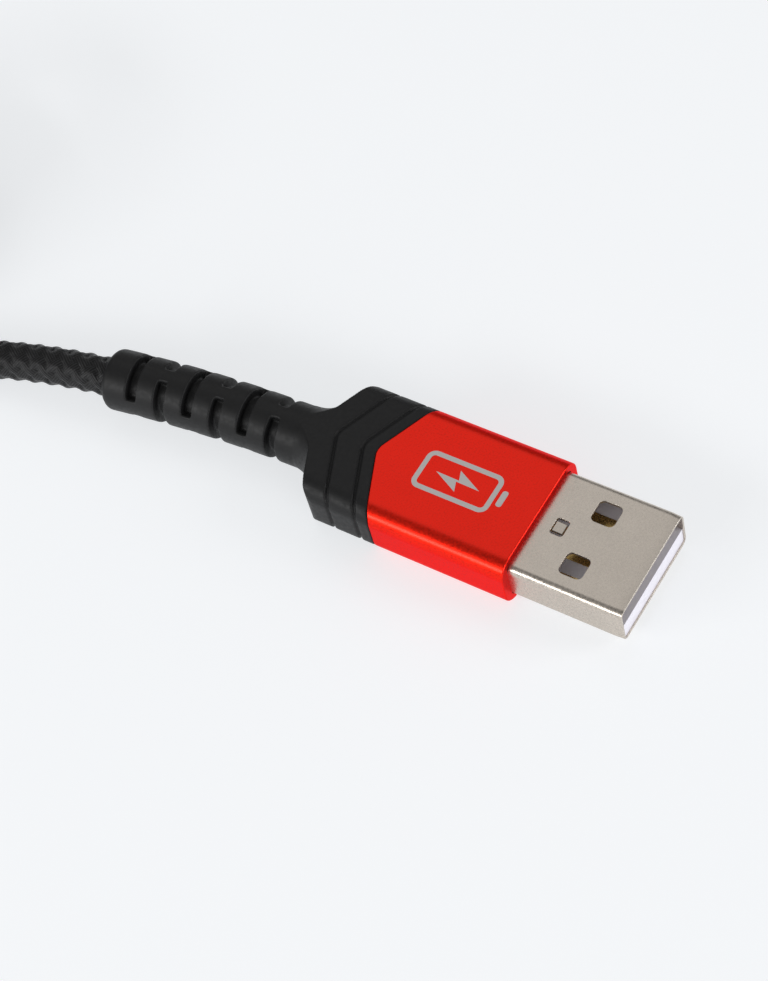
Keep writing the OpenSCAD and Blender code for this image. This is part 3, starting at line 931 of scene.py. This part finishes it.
shell_c = moulded_copy("shell_c", "plug_c_shell", voxel=0.1, rounds=1, faces=60000)
finish_piece(shell_c, "shell_nickel", NICKEL, "plug_c_shell")
sleeve_c = pointed_sleeve("sleeve_c", SLEEVE_C_FRONT, SLEEVE_C_REAR, CHEVRON_C, SLEEVE_C_W, SLEEVE_C_T,
                          SLEEVE_C_R, SLEEVE_C_BORE)
seat(sleeve_c, PLACE_C)
finish_piece(sleeve_c, "sleeve_red", ANODISED, "plug_c_sleeve")
boot_c = moulded_copy("boot_c", "plug_c_boot", voxel=0.12, rounds=2, faces=60000,
                      relief={"start": (RELIEF_C_START_X, HANK_Y, PLUG_C_Z), "toward": 1.0,
                              "bend": STRAIGHT, "length": RELIEF_C_LEN, "relief_r": RELIEF_C_R,
                              "edge_r": RELIEF_C_EDGE_R})
finish_piece(boot_c, "boot_black", RUBBER, "plug_c_boot")

REPLACED_C = ("plug_c_shell", "plug_c_sleeve", "plug_c_boot")
far_pieces = [shell_c, sleeve_c, boot_c, strap, "cable_end_c"]
far_pieces += [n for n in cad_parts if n.startswith(("plug_c_", "wire_c_")) and n not in REPLACED_C]

# ---- Finishes of the CAD nodes that stay ----

NODE_LOOKS = {"plug_a_tongue": TONGUE, "plug_a_solder": SOLDER, "plug_a_inner_mould": MOULD,
              "cable_end_a": BRAID, "plug_c_housing": HOUSING, "plug_c_contacts_upper": GOLD,
              "plug_c_contacts_lower": GOLD, "plug_c_latches": STEEL, "plug_c_board": BOARD,
              "plug_c_resistor": CHIP, "plug_c_solder": SOLDER, "plug_c_inner_mould": MOULD,
              "cable_end_c": BRAID}
for number in range(1, 5):
    NODE_LOOKS["contact_" + str(number)] = GOLD
for end in ("a", "c"):
    for core_name, look in WIRES.items():
        NODE_LOOKS["wire_" + end + "_" + core_name] = look
for node_name, look in NODE_LOOKS.items():
    paint_node(node_name, look)


# ---- Floor and light ----

def area_light(name, place, aim, size, power):
    data = bpy.data.lights.new(name, "AREA")
    data.shape = "RECTANGLE"
    data.size, data.size_y = size
    data.energy = power
    light = bpy.data.objects.new(name, data)
    scene.collection.objects.link(light)
    light.location = place
    light.rotation_euler = (Vector(aim) - Vector(place)).to_track_quat("-Z", "Y").to_euler()


FLOOR_HALF = 3.0

floor_mesh = bpy.data.meshes.new("floor")
floor_mesh.from_pydata([(-FLOOR_HALF, -FLOOR_HALF, 0), (FLOOR_HALF, -FLOOR_HALF, 0),
                        (FLOOR_HALF, FLOOR_HALF, 0), (-FLOOR_HALF, FLOOR_HALF, 0)], [], [(0, 1, 2, 3)])
floor = bpy.data.objects.new("floor", floor_mesh)
floor.location.z = cad_bounds[0][2]
scene.collection.objects.link(floor)
floor_mesh.materials.append(new_material("floor_paper", (0.45, 0.458, 0.47), 0.9,
                                         emission_color=(0.96, 0.98, 1.0, 1.0), emission_strength=0.655))

scene.view_settings.view_transform = "Standard"
world = scene.world or bpy.data.worlds.new("world")
scene.world = world
world.use_nodes = True
world.node_tree.nodes["Background"].inputs["Color"].default_value = (1.0, 1.0, 1.0, 1.0)
world.node_tree.nodes["Background"].inputs["Strength"].default_value = 0.25
area_light("top_soft", (-0.291, 0.284, 0.570), (0, 0, 0), (0.46, 0.46), 0.385)
area_light("front_strip", (-0.27, -0.53, 0.262), (0, 0, 0), (0.50, 0.12), 1.7)
area_light("mouth_fill", (0.62, -0.24, 0.11), (0, 0, 0), (0.35, 0.14), 1.1)
area_light("edge_fill", (0.448, 0.223, 0.229), (0, 0, 0), (0.22, 0.22), 0.7)
